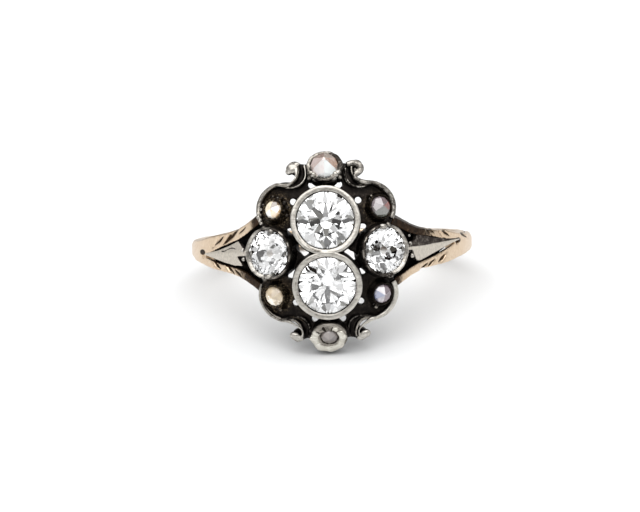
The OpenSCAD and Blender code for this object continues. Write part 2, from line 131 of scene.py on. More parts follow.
def linear(hex_colour):
    """A linear colour from an sRGB hex value."""
    channels = [int(hex_colour[i:i + 2], 16) / 255 for i in (1, 3, 5)]
    return [c / 12.92 if c <= 0.04045 else ((c + 0.055) / 1.055) ** 2.4 for c in channels] + [1.0]


def add(tree, kind, settings=(), **inputs):
    """Adds a node, sets its properties, and sets or links its inputs by name or, as i0, number."""
    node = tree.nodes.new("ShaderNode" + kind)
    for key, value in dict(settings).items():
        setattr(node, key, value)
    for key, value in inputs.items():
        numbered = key[0] == "i" and key[1:].isdigit()
        socket = node.inputs[int(key[1:]) if numbered else key.replace("_", " ")]
        if isinstance(value, bpy.types.NodeSocket):
            tree.links.new(value, socket)
        else:
            socket.default_value = value
    return node


def new_material(name):
    """A new material and its node tree, which is empty."""
    material = bpy.data.materials.new(name)
    material.use_nodes = True
    material.node_tree.nodes.clear()
    return material, material.node_tree


def ramp(tree, factor, stops):
    """A colour ramp from rows of position and hex colour."""
    node = add(tree, "ValToRGB", Fac=factor)
    elements = node.color_ramp.elements
    while len(elements) < len(stops):
        elements.new(0.5)
    for element, (position, colour) in zip(elements, stops):
        element.position = position
        element.color = linear(colour)
    return node.outputs["Color"]


def mapped(tree, scale):
    """Object coordinates counted in millimetres and stretched by the given scale."""
    place = add(tree, "TexCoord").outputs["Object"]
    return add(tree, "Mapping", Vector=place, Scale=[s / MM for s in scale]).outputs["Vector"]


def times_plus(tree, value, factor, extra, clamp=False):
    """value times factor plus extra."""
    return add(tree, "Math", {"operation": "MULTIPLY_ADD", "use_clamp": clamp}, i0=value, i1=factor,
               i2=extra).outputs[0]


def worn_metal(name, patina, polish, rough, relief=0.01, uneven=0.9, stain="#4b3e2e"):
    """Old precious metal: dark where dirt and tarnish stay, polished where it is touched.

    A piece's "wear" value says how much each place is rubbed, from 0 in the recesses to 1 on the
    edges, and its "stain" value where brown grime lies. patina and polish are rows of ramp stops,
    stain is the grime's colour, rough the roughness in a recess and on an edge, relief the depth of
    pits in millimetres, and uneven how blotchy the wear is.
    """
    material, tree = new_material(name)
    wear = add(tree, "Attribute", {"attribute_name": "wear"}).outputs["Fac"]
    stained = add(tree, "Attribute", {"attribute_name": "stain"}).outputs["Fac"]
    # Tarnish gathers in blots about 0.5 mm wide, with grime specks of 0.1 mm
    blots = add(tree, "TexNoise", Vector=mapped(tree, (1, 1, 1)), Scale=2.2, Detail=6.0,
                Roughness=0.65).outputs["Fac"]
    specks = add(tree, "TexNoise", Vector=mapped(tree, (1, 1, 1)), Scale=9.0, Detail=3.0,
                 Roughness=0.6).outputs["Fac"]
    # Scratches about 0.07 mm wide, coarser than real ones so that they show
    hairs = add(tree, "TexNoise", Vector=mapped(tree, (2.0, 14.0, 5.0)), Scale=1.0, Detail=4.0,
                Roughness=0.7).outputs["Fac"]
    blotted = times_plus(tree, blots, uneven, times_plus(tree, specks, 0.5, -0.25 - uneven / 2))
    rubbed = add(tree, "Math", {"operation": "ADD", "use_clamp": True}, i0=wear, i1=blotted)
    mask = add(tree, "MapRange", {"interpolation_type": "SMOOTHSTEP"}, Value=rubbed.outputs[0],
               From_Min=0.3, From_Max=0.7).outputs[0]
    plain = add(tree, "Mix", {"data_type": "RGBA"}, i0=mask, i6=ramp(tree, blots, patina),
                i7=ramp(tree, hairs, polish)).outputs[2]
    grime = times_plus(tree, stained, times_plus(tree, specks, 2.4, -0.6, True), 0.0, True)
    grime_colour = ramp(tree, specks, [(0.4, "#1a1512"), (0.55, stain), (0.68, "#8c8069")])
    colour = add(tree, "Mix", {"data_type": "RGBA"}, i0=grime, i6=plain, i7=grime_colour).outputs[2]
    shine = add(tree, "MapRange", Value=mask, To_Min=rough[0], To_Max=rough[1]).outputs[0]
    pits = add(tree, "TexVoronoi", {"feature": "SMOOTH_F1"}, Vector=mapped(tree, (1, 1, 1)),
               Scale=6.0)
    pitted = add(tree, "MapRange", Value=pits.outputs["Distance"], From_Max=0.35).outputs[0]
    height = times_plus(tree, hairs, 0.3, times_plus(tree, blots, 1.5, pitted))
    bump = add(tree, "Bump", Height=height, Strength=1.0, Distance=relief * MM)
    surface = add(tree, "BsdfPrincipled", Base_Color=colour, Metallic=1.0,
                  Roughness=times_plus(tree, hairs, 0.16, shine), Normal=bump.outputs[0])
    add(tree, "OutputMaterial", Surface=surface.outputs[0])
    return material


DIAMOND_IOR = 2.42


def clear_diamond(name):
    """Cut diamond: flat mirror facets and the splintered light of its high index."""
    material, tree = new_material(name)
    surface = add(tree, "BsdfPrincipled", Base_Color=linear("#ffffff"), Roughness=0.0,
                  IOR=DIAMOND_IOR, Transmission_Weight=1.0)
    add(tree, "OutputMaterial", Surface=surface.outputs[0])
    return material


def foiled_rose_painted_light(name, stand, tones, cloud, clear, blots):
    """A rose cut over tarnished foil, with facet colours painted by the way each facet faces.

    stand is the stone's place on the head. tones are ramp stops over the angle round the stone,
    from its left over its lower side, at 0.25, its right, at 0.5, and its upper side back to its
    left, partly the foil's tint and partly painted reflection of the light that the facets throw
    back. cloud is the roughness of its faces, clear the share of light that they let in, and blots
    how far streaks about 0.3 mm wide shift the tones.
    """
    material, tree = new_material(name)
    # Painted reflection: each facet's colour comes from the way it faces round the stone
    normal = add(tree, "NewGeometry").outputs["True Normal"]
    turn = (UPRIGHT_TO_WORLD @ stand).to_3x3()
    towards = [add(tree, "VectorMath", {"operation": "DOT_PRODUCT"}, i0=normal,
                   i1=turn.col[axis].normalized()) for axis in (0, 1)]
    angle = add(tree, "Math", {"operation": "ARCTAN2"}, i0=towards[1].outputs["Value"],
                i1=towards[0].outputs["Value"]).outputs[0]
    streaks = add(tree, "TexNoise", Vector=mapped(tree, (1, 1, 1)), Scale=3.0,
                  Detail=4.0).outputs["Fac"]
    blur = times_plus(tree, streaks, blots, 0.5 - blots / 2)
    colour = ramp(tree, times_plus(tree, angle, 0.5 / math.pi, blur, True), tones)
    surface = add(tree, "BsdfPrincipled", Base_Color=colour, Roughness=cloud, IOR=DIAMOND_IOR,
                  Transmission_Weight=clear)
    add(tree, "OutputMaterial", Surface=surface.outputs[0])
    return material


# Gold-copper alloy, rolled and hand filed: pale and warm, with red-brown dirt in its cuts
GOLD = worn_metal(
    "worn_rose_gold",
    patina=[(0.35, "#1c130d"), (0.6, "#3b2a1d"), (0.8, "#6b5138")],
    polish=[(0.3, "#c9af91"), (0.55, "#dbc6ad"), (0.75, "#eadcca")],
    rough=(0.45, 0.25), relief=0.006, uneven=0.4, stain="#6d5a40")
# Cast silver, blackened by sulphide and rubbed on its edges: near black with grey lines
BLACK_SILVER = worn_metal(
    "blackened_silver",
    patina=[(0.3, "#121010"), (0.55, "#211e1c"), (0.75, "#3b3531")],
    polish=[(0.3, "#6f6a63"), (0.55, "#9d978e"), (0.75, "#c9c4bb")],
    rough=(0.4, 0.26), relief=0.012)
# Rolled wire and beads of silver: grey with bright crests
WIRE_SILVER = worn_metal(
    "worn_silver_wire",
    patina=[(0.3, "#1d1a18"), (0.55, "#3c3733"), (0.75, "#6b635a")],
    polish=[(0.3, "#8f8a82"), (0.5, "#b8b3ab"), (0.72, "#dedad3")],
    rough=(0.38, 0.22), relief=0.01)
# Turned and burnished silver: a pale, softly scratched band
RIM_SILVER = worn_metal(
    "burnished_silver",
    patina=[(0.3, "#1b1917"), (0.55, "#35312d"), (0.75, "#6d675f")],
    polish=[(0.3, "#9c978f"), (0.5, "#bfbbb3"), (0.72, "#dad6cf")],
    rough=(0.42, 0.3), relief=0.006, uneven=0.6)
# Silver scraped clean by wear against cloth: cream white
CREAM_SILVER = worn_metal(
    "cream_silver",
    patina=[(0.3, "#171412"), (0.55, "#2e2924"), (0.75, "#5a5147")],
    polish=[(0.3, "#bfbaae"), (0.5, "#d9d5ca"), (0.72, "#efece5")],
    rough=(0.42, 0.3), relief=0.01, uneven=0.6)
# Dull, stoned silver of the leaves: an even warm grey with a fine grain
LEAF_SILVER = worn_metal(
    "dull_leaf_silver",
    patina=[(0.3, "#2a2522"), (0.55, "#4c4541"), (0.75, "#6f6762")],
    polish=[(0.3, "#b8b1a7"), (0.5, "#cfc8bd"), (0.72, "#e2dbd0")],
    rough=(0.6, 0.48), relief=0.008, uneven=0.5)
# Clear old diamond: white sparks and grey facets
DIAMOND = clear_diamond("diamond")


# Making meshes

def vertex_arrays(mesh):
    """The places and normals of a mesh's vertices as rows of three."""
    places = np.empty(len(mesh.vertices) * 3)
    normals = np.empty(len(mesh.vertices) * 3)
    mesh.vertices.foreach_get("co", places)
    mesh.vertices.foreach_get("normal", normals)
    return places.reshape(-1, 3), normals.reshape(-1, 3)


def move_vertices(mesh, places):
    """Puts the vertices at new places."""
    mesh.vertices.foreach_set("co", places.ravel())
    mesh.update()


def step_up(values, low, high):
    """0 below low, 1 above high and smooth between, for arrays."""
    t = np.clip((values - low) / (high - low), 0, 1)
    return t * t * (3 - 2 * t)


def raised_by(mesh, rounds):
    """How far each vertex stands out from its smoothed surroundings, in millimetres."""
    places, normals = vertex_arrays(mesh)
    ends = np.empty(len(mesh.edges) * 2, dtype=np.int64)
    mesh.edges.foreach_get("vertices", ends)
    ends = ends.reshape(-1, 2)
    degree = np.maximum(np.bincount(ends.ravel(), minlength=len(places)), 1)

    def spread(values):
        total = np.zeros_like(values)
        np.add.at(total, ends[:, 0], values[ends[:, 1]])
        np.add.at(total, ends[:, 1], values[ends[:, 0]])
        return total / (degree[:, None] if values.ndim == 2 else degree)

    soft = places
    for _ in range(rounds):
        soft = spread(soft)
    return spread(((places - soft) * normals).sum(axis=1))


def store(mesh, name, values):
    """Keeps one value a vertex on the mesh, where the metals read it."""
    layer = mesh.attributes.new(name, "FLOAT", "POINT")
    layer.data.foreach_set("value", np.clip(values, 0, 1).astype(np.float32))


def seen_from(stand, places):
    """Upright places counted from a stand on the head: across, up the head and outward."""
    back = np.array(stand.inverted())
    return places @ back[:3, :3].T + back[:3, 3]


def from_work(work, name):
    """A mesh from finished bmesh work, its faces turned outward.

    The recalculation can leave a thin ring inside out, so the sign of the volume settles it.
    """
    bmesh.ops.recalc_face_normals(work, faces=work.faces)
    if work.calc_volume(signed=True) < 0:
        bmesh.ops.reverse_faces(work, faces=work.faces)
    mesh = bpy.data.meshes.new(name)
    work.to_mesh(mesh)
    work.free()
    mesh.polygons.foreach_set("use_smooth", [True] * len(mesh.polygons))
    return mesh


def soften(mesh, voxel, rounds, sway=0.0):
    """The same solid with the soft edges and fused joints of worn metal.

    voxel is the size of its new faces, rounds how often they are smoothed, and sway how far the
    surface waves in and out, in millimetres.
    """
    helper = bpy.data.objects.new("helper", mesh)
    bpy.context.scene.collection.objects.link(helper)
    remesh = helper.modifiers.new("remesh", "REMESH")
    remesh.mode = "VOXEL"
    remesh.voxel_size = voxel
    settle = helper.modifiers.new("settle", "SMOOTH")
    settle.factor = 0.5
    settle.iterations = rounds
    graph = bpy.context.evaluated_depsgraph_get()
    fine = bpy.data.meshes.new_from_object(helper.evaluated_get(graph))
    bpy.data.objects.remove(helper)
    bpy.data.meshes.remove(mesh)
    if sway:
        places, normals = vertex_arrays(fine)
        wave = np.array([noise.noise(Vector(p) * 0.9) + 0.5 * noise.noise(Vector(p) * 2.7)
                         for p in places])
        move_vertices(fine, places + normals * (sway * wave)[:, None])
    fine.polygons.foreach_set("use_smooth", [True] * len(fine.polygons))
    return fine


MERGE_DISTANCE = 1e-4


def merged_copy(node):
    """A merged copy of a solid, upright and in millimetres."""
    mesh = node.data.copy()
    mesh.transform(WORLD_TO_UPRIGHT)
    work = bmesh.new()
    work.from_mesh(mesh)
    bmesh.ops.remove_doubles(work, verts=work.verts, dist=MERGE_DISTANCE)
    work.to_mesh(mesh)
    work.free()
    return mesh


def add_piece(mesh, name, material, node):
    """Lays an upright mesh in millimetres down in the world and makes it a piece of the ring."""
    mesh.name = name
    mesh.transform(UPRIGHT_TO_WORLD)
    piece = bpy.data.objects.new(name, mesh)
    bpy.context.scene.collection.objects.link(piece)
    mesh.materials.clear()
    mesh.materials.append(material)
    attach(piece, "root")
    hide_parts(node)


def add_lathe(work, profile, place, steps, wobble=None):
    """Adds a ring turned from a closed profile of radius and height, and then placed.

    wobble gives the shift of each vertex from its angle, radius and height.
    """
    verts = [work.verts.new((r, 0, z)) for r, z in profile]
    edges = [work.edges.new((verts[i], verts[(i + 1) % len(verts)])) for i in range(len(verts))]
    bmesh.ops.spin(work, geom=verts + edges, axis=(0, 0, 1), cent=(0, 0, 0), dvec=(0, 0, 0),
                   angle=2 * math.pi, steps=steps, use_merge=True, use_duplicate=False)
    # A tag marks the vertices that are placed already
    for vert in [v for v in work.verts if not v.tag]:
        vert.tag = True
        if wobble:
            angle = math.atan2(vert.co.y, vert.co.x)
            vert.co += Vector(wobble(angle, math.hypot(vert.co.x, vert.co.y), vert.co.z))
        vert.co = place @ vert.co


def add_bead(work, place, radii, detail=3):
    """Adds a ball or an egg-shaped bead to bmesh work."""
    ball = bmesh.ops.create_icosphere(work, subdivisions=detail, radius=1.0)
    shape = place @ Matrix.Diagonal((*radii, 1.0))
    bmesh.ops.transform(work, matrix=shape, verts=ball["verts"])
    for vert in ball["verts"]:
        vert.tag = True


def wire_mesh(lines):
    """A mesh of wires, each a list of rows of place and radius, in millimetres."""
    curve = bpy.data.curves.new("wires", "CURVE")
    curve.dimensions = "3D"
    curve.bevel_depth = 1.0
    curve.bevel_resolution = 3
    curve.use_fill_caps = True
    for line in lines:
        spline = curve.splines.new("POLY")
        spline.points.add(len(line) - 1)
        for point, (place, radius) in zip(spline.points, line):
            point.co = (*place, 1.0)
            point.radius = radius
    helper = bpy.data.objects.new("helper", curve)
    bpy.context.scene.collection.objects.link(helper)
    graph = bpy.context.evaluated_depsgraph_get()
    mesh = bpy.data.meshes.new_from_object(helper.evaluated_get(graph))
    bpy.data.objects.remove(helper)
    bpy.data.curves.remove(curve)
    return mesh


def dome_wire(rows, steps=5):
    """A wire along the dome through rows of across, along, radius and lift."""
    spots = smooth_line([(u, v, r) for u, v, r, _ in rows], steps)
    lifts = smooth_line([(lift, 0, 0) for _, _, _, lift in rows], steps)
    return [(on_dome(spot.x, spot.y, lift.x).translation, spot.z)
            for spot, lift in zip(spots, lifts)]


# The worn body of the ring

def dome_rise(places):
    """Height of upright places above the dome, in millimetres."""
    along = np.clip(places[:, 2], -8, 8)
    radius = DOME_ACROSS - DOME_ALONG + np.sqrt(DOME_ALONG ** 2 - along ** 2)
    return np.hypot(places[:, 0], places[:, 1] + DOME_AXIS) - radius


def near(places, u, v, inner, outer):
    """1 within the inner distance of a spot seen from the front, 0 beyond the outer one."""
    return 1 - step_up(np.hypot(places[:, 0] - u, places[:, 2] - v), inner, outer)


# Cuts graved across the shoulders. Each row: across, along, half length, half width, depth
CUTS = [
    (-7.5, 0.66, 0.45, 0.15, 0.16), (-6.65, 0.98, 0.85, 0.2, 0.2), (-5.8, 1.45, 0.4, 0.1, 0.08),
    (-7.75, -1.02, 0.42, 0.14, 0.16), (-6.8, -1.25, 0.5, 0.14, 0.18), (-6.2, -1.5, 0.35, 0.1, 0.1),
    (7.95, 0.77, 0.38, 0.13, 0.16), (9.1, 0.45, 0.35, 0.13, 0.08), (6.9, 1.1, 0.4, 0.08, 0.08),
    (7.7, -0.98, 0.4, 0.13, 0.16), (7.0, -1.2, 0.36, 0.12, 0.12), (6.45, -1.5, 0.5, 0.15, 0.18),
]


def cut_depths(places, normals):
    """Depth of the graved cuts at each place, and how much of a cut each place lies in."""
    depth = np.zeros(len(places))
    inside = np.zeros(len(places))
    outward = (places[:, 0] * normals[:, 0] + places[:, 1] * normals[:, 1]) > 0
    for x, z, length, width, deep in CUTS:
        towards = (x - places[:, 0]) * math.copysign(1, x)
        up = (places[:, 2] - z) * math.copysign(1, z)
        along = (towards + up) / math.sqrt(2)
        across = (up - towards) / math.sqrt(2)
        taper = np.clip(1 - np.abs(along) / length, 0, 1) ** 0.5
        groove = np.clip(1 - np.abs(across) / (width * taper + 1e-6), 0, 1) * outward
        depth = np.maximum(depth, deep * groove * taper)
        inside = np.maximum(inside, groove)
    return depth, inside


# Where soot from the head covers each branch. Each row: side, end, angles at which it starts and is
# full, and how dark it gets
SOOT = [(-1, 1, 57, 64, 1.0), (-1, -1, 43, 60, 0.85), (1, 1, 28, 54, 0.9), (1, -1, 58, 66, 1.0)]


def shank_soot(places):
    """How far the blackening of the head spreads over the shoulders."""
    angle = np.degrees(np.arctan2(-places[:, 1], np.abs(places[:, 0])))
    soot = np.zeros(len(places))
    for side, end, start, full, most in SOOT:
        here = (places[:, 0] * side > 0) & ((places[:, 2] + SHANK_DROP) * end > 0)
        soot = np.where(here, most * step_up(angle, start, full), soot)
    return soot


# Dark dots where each fork begins: across, along
SHANK_DOTS = [(-8.75, -0.22), (8.75, 0.12)]


def make_shank():
    """The gold hoop, its shoulders graved, with dirt in the cuts and soot towards the head."""
    mesh = soften(merged_copy(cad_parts["shank"]), voxel=0.062, rounds=4, sway=0.016)
    places, normals = vertex_arrays(mesh)
    depth, inside = cut_depths(places, normals)
    move_vertices(mesh, places - normals * depth[:, None])
    raised = raised_by(mesh, 6)
    angle = np.degrees(np.arctan2(-places[:, 1], np.abs(places[:, 0])))
    middle = np.where(places[:, 0] < 0, -0.2, 0.1)
    inward = -np.sign(places[:, 2] - middle) * normals[:, 2]
    # The throat is the inner face of a branch, from where the fork opens
    throat = step_up(angle, 27, 30) * step_up(inward, 0.3, 0.8)
    dots = sum(near(places, x, z, 0.1, 0.28) for x, z in SHANK_DOTS)
    front = step_up(-places[:, 1], 0, 2)
    soot = shank_soot(places)
    wear = 1.0 + 9.0 * np.minimum(raised, 0) - 0.9 * inside - 0.9 * throat
    wear -= dots * front + 0.85 * soot
    store(mesh, "wear", wear)
    store(mesh, "stain", 0.35 * inside + 0.5 * soot * (1 - soot) * 2)
    add_piece(mesh, "gold_shank", GOLD, "shank")


LIP_TOP = 1.2
LIP_BREADTH = 0.5


def opened_lip(places, stand, reach, low):
    """Pushes a collet's lip, above the low height, out to the given distance from its axis."""
    local = seen_from(stand, places)
    radius = np.hypot(local[:, 0], local[:, 1])
    lip = (local[:, 2] > low) & (local[:, 2] < LIP_TOP)
    lip &= (radius < reach) & (radius > reach - LIP_BREADTH)
    grow = np.where(lip, reach / np.maximum(radius, 1e-6), 1.0)
    local[:, :2] *= grow[:, None]
    there = np.array(stand)
    return local @ there[:3, :3].T + there[:3, 3]


# How thickly brown grime lies round each corner stone, in the order of CORNERS
CORNER_GRIME = (0.9, 0.35, 0.9, 0.1)


def make_head():
    """The blackened head, rubbed on its highest edges and grimy round the corner stones."""
    mesh = soften(merged_copy(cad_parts["setting"]), voxel=0.072, rounds=2, sway=0.02)
    places, _ = vertex_arrays(mesh)
    for side in (-1, 1):
        places = opened_lip(places, on_dome(side * SIDE_U, 0), SIDE_R + 0.07, 0.3)
        places = opened_lip(places, on_dome(0, side * MAIN_V), MAIN_R + 0.03, 0.45)
    move_vertices(mesh, places)
    places, normals = vertex_arrays(mesh)
    raised = raised_by(mesh, 6)
    height = dome_rise(places)
    facing = np.clip(-normals[:, 1], 0, 1)
    wear = 0.14 + 6.5 * raised + 0.5 * step_up(height, 0.12, 0.35) * facing
    stain = np.zeros(len(places))
    for (u, v, _), grime in zip(CORNERS, CORNER_GRIME):
        wear -= 0.6 * near(places, u, v, 0.85, 1.25)
        stain += grime * near(places, u, v, 0.8, 1.5)
    wear -= 0.3 * near(places, 0, END_V, 0.9, 1.4)
    store(mesh, "wear", wear)
    store(mesh, "stain", stain)
    add_piece(mesh, "silver_head", BLACK_SILVER, "setting")


make_shank()
make_head()


# Bezels and collets

def hand_pushed(size, turns, phase):
    """A wobble for metal pushed over by hand: size in millimetres, waves a turn, and start."""
    def wobble(angle, radius, height):
        wave = math.sin(turns * angle + phase) + 0.6 * math.sin((2 * turns + 1) * angle + 2 * phase)
        return (size * wave * math.cos(angle), size * wave * math.sin(angle), 0.6 * size * wave)
    return wobble


BEZEL_R = MAIN_R + 0.35
BEZEL_RIM = 0.82
# Outer wall, flat burnished band and dark inner bevel. Each row: radius, height
BEZEL_PROFILE = [
    (BEZEL_R - 0.03, -0.3), (BEZEL_R, 0.1), (BEZEL_R, BEZEL_RIM - 0.2),
    (BEZEL_R - 0.02, BEZEL_RIM - 0.07), (BEZEL_R - 0.06, BEZEL_RIM - 0.01),
    (BEZEL_R - 0.11, BEZEL_RIM + 0.01), (BEZEL_R - 0.2, BEZEL_RIM + 0.01),
    (BEZEL_R - 0.32, BEZEL_RIM - 0.005), (BEZEL_R - 0.37, BEZEL_RIM - 0.02),
    (BEZEL_R - 0.395, BEZEL_RIM - 0.05), (BEZEL_R - 0.47, BEZEL_RIM - 0.13),
    (BEZEL_R - 0.43, BEZEL_RIM - 0.2), (MAIN_R + 0.05, BEZEL_RIM - 0.26), (MAIN_R + 0.05, -0.3),
]


def add_bezel(name, v, phase):
    """A burnished bezel round a middle stone: a bright flat band with a dark bevel inside it."""
    place = on_dome(0, v)
    work = bmesh.new()
    add_lathe(work, BEZEL_PROFILE, place, 144, hand_pushed(0.008, 5, phase))
    mesh = from_work(work, name)
    local = seen_from(place, vertex_arrays(mesh)[0])
    radius = np.hypot(local[:, 0], local[:, 1])
    bevel = 1 - step_up(radius, BEZEL_R - 0.415, BEZEL_R - 0.39)
    wear = 0.95 * step_up(local[:, 2], BEZEL_RIM - 0.12, BEZEL_RIM - 0.03) - 1.2 * bevel
    store(mesh, "wear", wear)
    add_piece(mesh, name, RIM_SILVER, "setting")


add_bezel("upper_bezel", MAIN_V, 0.4)
add_bezel("lower_bezel", -MAIN_V, 2.1)


def collet_wear(mesh, place, top, bright):
    """Wear of a collet: dark down its walls, and on its rim as bright says for each angle."""
    local = seen_from(place, vertex_arrays(mesh)[0])
    angle = np.arctan2(local[:, 1], local[:, 0])
    return step_up(local[:, 2], top - 0.25, top - 0.05) * bright(angle)


SIDE_COLLET_R = SIDE_R + 0.2
SIDE_RIM = 0.66
# Each row: radius, height
SIDE_PROFILE = [
    (SIDE_COLLET_R, -0.3), (SIDE_COLLET_R + 0.01, 0.0), (SIDE_COLLET_R + 0.01, 0.3),
    (SIDE_COLLET_R - 0.01, SIDE_RIM - 0.1), (SIDE_COLLET_R - 0.05, SIDE_RIM),
    (SIDE_COLLET_R - 0.1, SIDE_RIM + 0.01), (SIDE_COLLET_R - 0.15, SIDE_RIM - 0.02),
    (SIDE_R, SIDE_RIM - 0.06), (SIDE_R - 0.03, SIDE_RIM - 0.1), (SIDE_R + 0.04, SIDE_RIM - 0.24),
    (SIDE_R + 0.05, -0.3),
]


def round_collet(place, angle, out, height):
    """A spot on a collet, at an angle in degrees and a distance out from its middle."""
    turn = Matrix.Rotation(math.radians(angle), 4, "Z")
    return place @ turn @ Matrix.Translation((out, 0, height))


def add_side_collet(name, side):
    """A side collet: a thin rim, rubbed on its outer side, with slanted cuts down its wall."""
    place = on_dome(side * SIDE_U, 0)

    def cut_wall(angle, radius, height):
        carve = 0.0
        if radius > SIDE_R + 0.08:
            slant = math.sin(11 * angle + 6 * height)
            carve -= 0.11 * max(0.0, -side * math.cos(angle)) * max(0.0, slant)
        if radius < SIDE_R + 0.02 and height > SIDE_RIM - 0.15:
            carve -= 0.09 * max(0.0, side * math.cos(angle + 0.5 * side))
        wave = 0.012 * math.sin(7 * angle + side)
        return ((carve + wave) * math.cos(angle), (carve + wave) * math.sin(angle), wave)

    def bright(angle):
        return 0.42 + 0.42 * side * np.cos(angle) + 0.1 * np.sin(9 * angle)

    work = bmesh.new()
    add_lathe(work, SIDE_PROFILE, place, 160, cut_wall)
    mesh = from_work(work, name)
    store(mesh, "wear", collet_wear(mesh, place, SIDE_RIM, bright))
    add_piece(mesh, name, WIRE_SILVER, "setting")


add_side_collet("left_collet", -1)
add_side_collet("right_collet", 1)


BOTTOM_RIM = 0.64
# Each row: radius, height
BOTTOM_PROFILE = [
    (1.2, -0.4), (1.22, 0.1), (1.22, BOTTOM_RIM - 0.18), (1.16, BOTTOM_RIM - 0.05),
    (1.04, BOTTOM_RIM + 0.01), (0.9, BOTTOM_RIM + 0.02), (0.78, BOTTOM_RIM),
    (0.72, BOTTOM_RIM - 0.04), (0.69, BOTTOM_RIM - 0.14), (0.7, -0.4),
]
# The bump at its left and the two nuggets at its upper right. Each row: angle, distance from its
# middle, radius
NUGGETS = [(178, 1.17, 0.14), (57, 0.98, 0.17), (30, 1.05, 0.13)]


def add_bottom_collet():
    """The cream collet of the bottom stone: a broad flat rim, broken and dark at its top."""
    place = on_dome(-0.05, -END_V - 0.05, 0, -END_LEAN)

    def scallop(angle, radius, height):
        top_side = max(0.0, math.sin(angle))
        bumps = 0.03 * math.sin(8 * angle + 0.6) + 0.02 * math.sin(5 * angle)
        grow = bumps - 0.05 * top_side if radius > 0.95 else 0.012 * math.sin(7 * angle)
        if radius < 0.95:
            grow += 0.1 * top_side ** 2 * math.sin(13 * angle)
        drop = -0.2 * top_side ** 2 * (1 + math.sin(9 * angle)) if height > 0.3 else 0.0
        return (grow * math.cos(angle), grow * math.sin(angle), drop + 0.5 * bumps)

    def bright(angle):
        broken = step_up(np.sin(angle), 0.45, 0.85)
        return 1.0 - 1.5 * broken * (1 - 0.8 * step_up(np.cos(angle), 0.15, 0.4))

    work = bmesh.new()
    add_lathe(work, BOTTOM_PROFILE, place, 120, scallop)
    for angle, out, radius in NUGGETS:
        add_bead(work, round_collet(place, angle, out, BOTTOM_RIM - 0.1), (radius, radius, radius))
    mesh = soften(from_work(work, "bottom_collet"), voxel=0.034, rounds=2, sway=0.02)
    store(mesh, "wear", collet_wear(mesh, place, BOTTOM_RIM - 0.06, bright))
    add_piece(mesh, "bottom_collet", CREAM_SILVER, "setting")


TOP_RIM = 0.56
# Each row: radius, height
TOP_PROFILE = [
    (1.2, -0.4), (1.24, 0.0), (1.26, TOP_RIM - 0.22), (1.22, TOP_RIM - 0.06),
    (1.14, TOP_RIM + 0.01), (1.06, TOP_RIM), (1.0, TOP_RIM - 0.06), (0.98, TOP_RIM - 0.16),
    (1.0, -0.4),
]
# Claws of the top stone. Each row: angle round the stone, distance from its middle, then length,
# width and height
CLAWS = [
    (-152, 1.04, 0.2, 0.12, 0.14), (-137, 1.0, 0.26, 0.17, 0.24), (-120, 0.98, 0.2, 0.09, 0.2),
    (-104, 0.92, 0.13, 0.06, 0.1), (-90, 0.95, 0.12, 0.07, 0.12), (-77, 0.92, 0.12, 0.05, 0.08),
    (-61, 0.97, 0.2, 0.1, 0.18), (-43, 1.0, 0.26, 0.16, 0.24), (-27, 1.03, 0.16, 0.11, 0.18),
    (-12, 1.05, 0.12, 0.06, 0.12), (-166, 1.06, 0.1, 0.05, 0.1),
]


def add_top_collet():
    """The top stone's collet: a narrow streaked rim, with rough bright claws below the stone."""
    place = on_dome(0, END_V, 0, END_LEAN)

    def uneven(angle, radius, height):
        grow = 0.02 * math.sin(5 * angle + 1.0) + 0.015 * math.sin(11 * angle)
        droop = 0.12 * max(0.0, math.cos(angle)) - 0.12 * max(0.0, -math.sin(angle))
        if radius < 1.08:
            grow -= 0.1 * max(0.0, math.cos(angle)) + 0.04 * max(0.0, -math.cos(angle))
        return (grow * math.cos(angle), grow * math.sin(angle), droop if height > 0.3 else 0.0)

    def bright(angle):
        darker_right = 0.25 * step_up(np.cos(angle), -0.2, 0.6)
        return 0.55 - darker_right + 0.5 * step_up(-np.sin(angle), 0.3, 0.6)

    work = bmesh.new()
    add_lathe(work, TOP_PROFILE, place, 96, uneven)
    for angle, out, length, width, height in CLAWS:
        add_bead(work, round_collet(place, angle, out, TOP_RIM - 0.12), (length, width, height))
    mesh = soften(from_work(work, "top_collet"), voxel=0.032, rounds=2, sway=0.03)
    raised = raised_by(mesh, 5)
    store(mesh, "wear", collet_wear(mesh, place, TOP_RIM - 0.2, bright) + 5 * raised)
    add_piece(mesh, "top_collet", WIRE_SILVER, "setting")


add_bottom_collet()
add_top_collet()


# Scrolls

